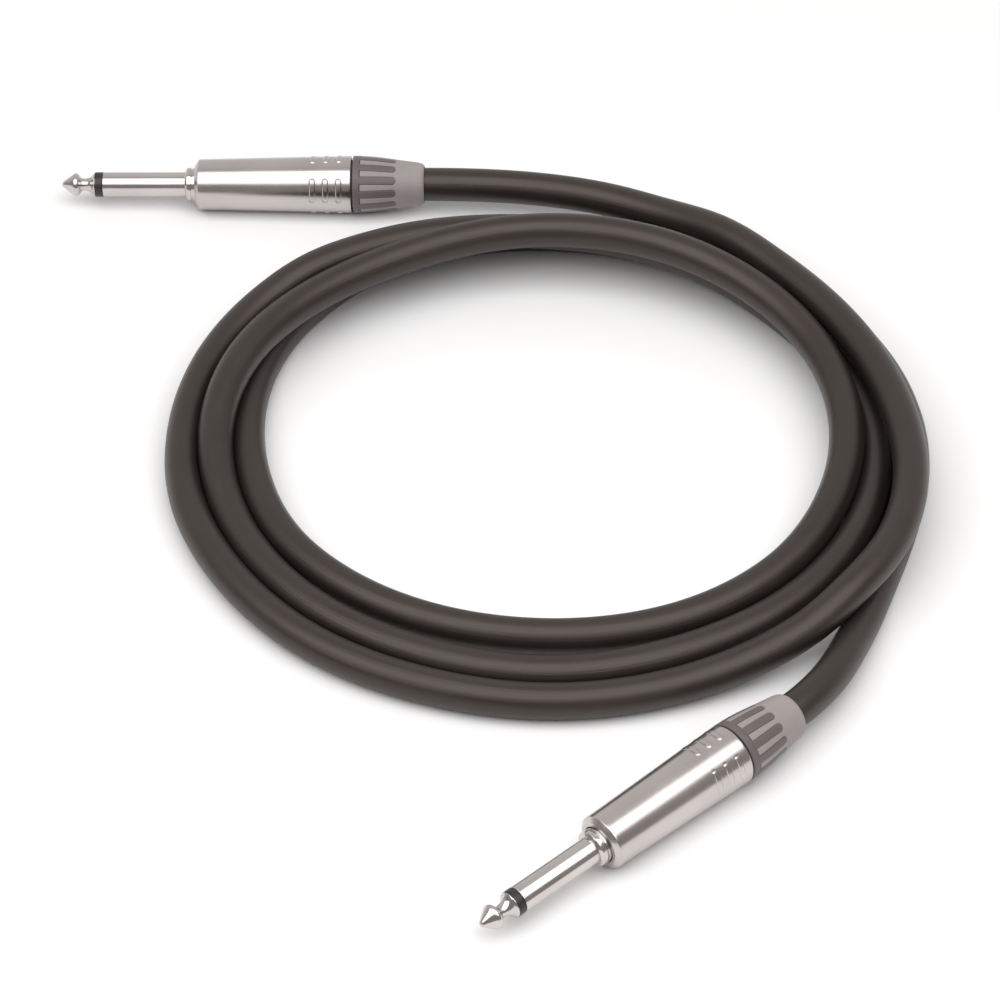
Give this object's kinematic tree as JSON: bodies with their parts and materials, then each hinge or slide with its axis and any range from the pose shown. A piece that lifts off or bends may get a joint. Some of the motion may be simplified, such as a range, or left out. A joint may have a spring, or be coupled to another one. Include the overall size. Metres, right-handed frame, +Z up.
{
  "type": "instrument cable",
  "caption": "Thick black instrument cable in a loose flat coil, with a straight mono plug, a tapered metal shell and a screw-on strain relief at each end.",
  "frame": {"origin": "middle of the box around the two plugs, on the surface that the cable lies on", "axes": "+Z up, along the shortest side of the box around the two plugs; plug a points along -X; the coil is on the +Y side of plug b"},
  "size_m": [0.2163, 0.2624, 0.019],
  "materials": {
    "nickel": "satin nickel plate",
    "tin": "dull tin plate",
    "black_plastic": "fine matte",
    "grey_plastic": "fine matte",
    "white_plastic": "smooth",
    "light_rubber": "soft matte",
    "cord_jacket": "smooth satin",
    "copper": "bare copper"
  },
  "bodies": {
    "cable": {"plug_a_tip_contact": "nickel", "plug_a_tip_insulator": "black_plastic", "plug_a_sleeve_contact": "nickel", "plug_a_ground_lug": "tin", "plug_a_rear_insulator": "black_plastic", "plug_a_tip_lug": "tin", "plug_a_shell": "nickel", "plug_a_liner_tube": "white_plastic", "plug_a_shielded_core": "copper", "plug_a_core_wire": "white_plastic", "plug_a_shield_tail": "copper", "plug_b_tip_contact": "nickel", "plug_b_tip_insulator": "black_plastic", "plug_b_sleeve_contact": "nickel", "plug_b_ground_lug": "tin", "plug_b_rear_insulator": "black_plastic", "plug_b_tip_lug": "tin", "plug_b_shell": "nickel", "plug_b_liner_tube": "white_plastic", "plug_b_shielded_core": "copper", "plug_b_core_wire": "white_plastic", "plug_b_shield_tail": "copper", "cord_lead_a": "cord_jacket", "cord_coil": "cord_jacket", "cord_lead_b": "cord_jacket"},
    "plug_a_chuck": {"plug_a_chuck": "black_plastic"},
    "plug_a_bushing": {"plug_a_bushing": "grey_plastic", "plug_a_boot": "light_rubber"},
    "plug_b_chuck": {"plug_b_chuck": "black_plastic"},
    "plug_b_bushing": {"plug_b_bushing": "grey_plastic", "plug_b_boot": "light_rubber"}
  },
  "joints": [
    {"name": "plug_a_chuck_slide", "type": "slide", "parent": "cable", "child": "plug_a_chuck", "axis": [0.9995, -0.0244, 0.02], "range_m": [0, 0.0055]},
    {"name": "plug_a_bushing_turn", "type": "hinge", "parent": "plug_a_chuck", "child": "plug_a_bushing", "pos_m": [-0.01539, 0.12376, 0.00729], "axis": [0.9995, -0.0244, 0.02], "range_deg": [0, 1985]},
    {"name": "plug_b_chuck_slide", "type": "slide", "parent": "cable", "child": "plug_b_chuck", "axis": [0.743, 0.669, 0.02], "range_m": [0, 0.0055]},
    {"name": "plug_b_bushing_turn", "type": "hinge", "parent": "plug_b_chuck", "child": "plug_b_bushing", "pos_m": [0.07348, -0.08086, 0.00729], "axis": [0.743, 0.669, 0.02], "range_deg": [0, 1985]}
  ],
  "couplings": [
    {"joint": "plug_a_bushing_turn", "follows": "plug_a_chuck_slide", "rad_per_m": 6283.2},
    {"joint": "plug_b_bushing_turn", "follows": "plug_b_chuck_slide", "rad_per_m": 6283.2}
  ]
}
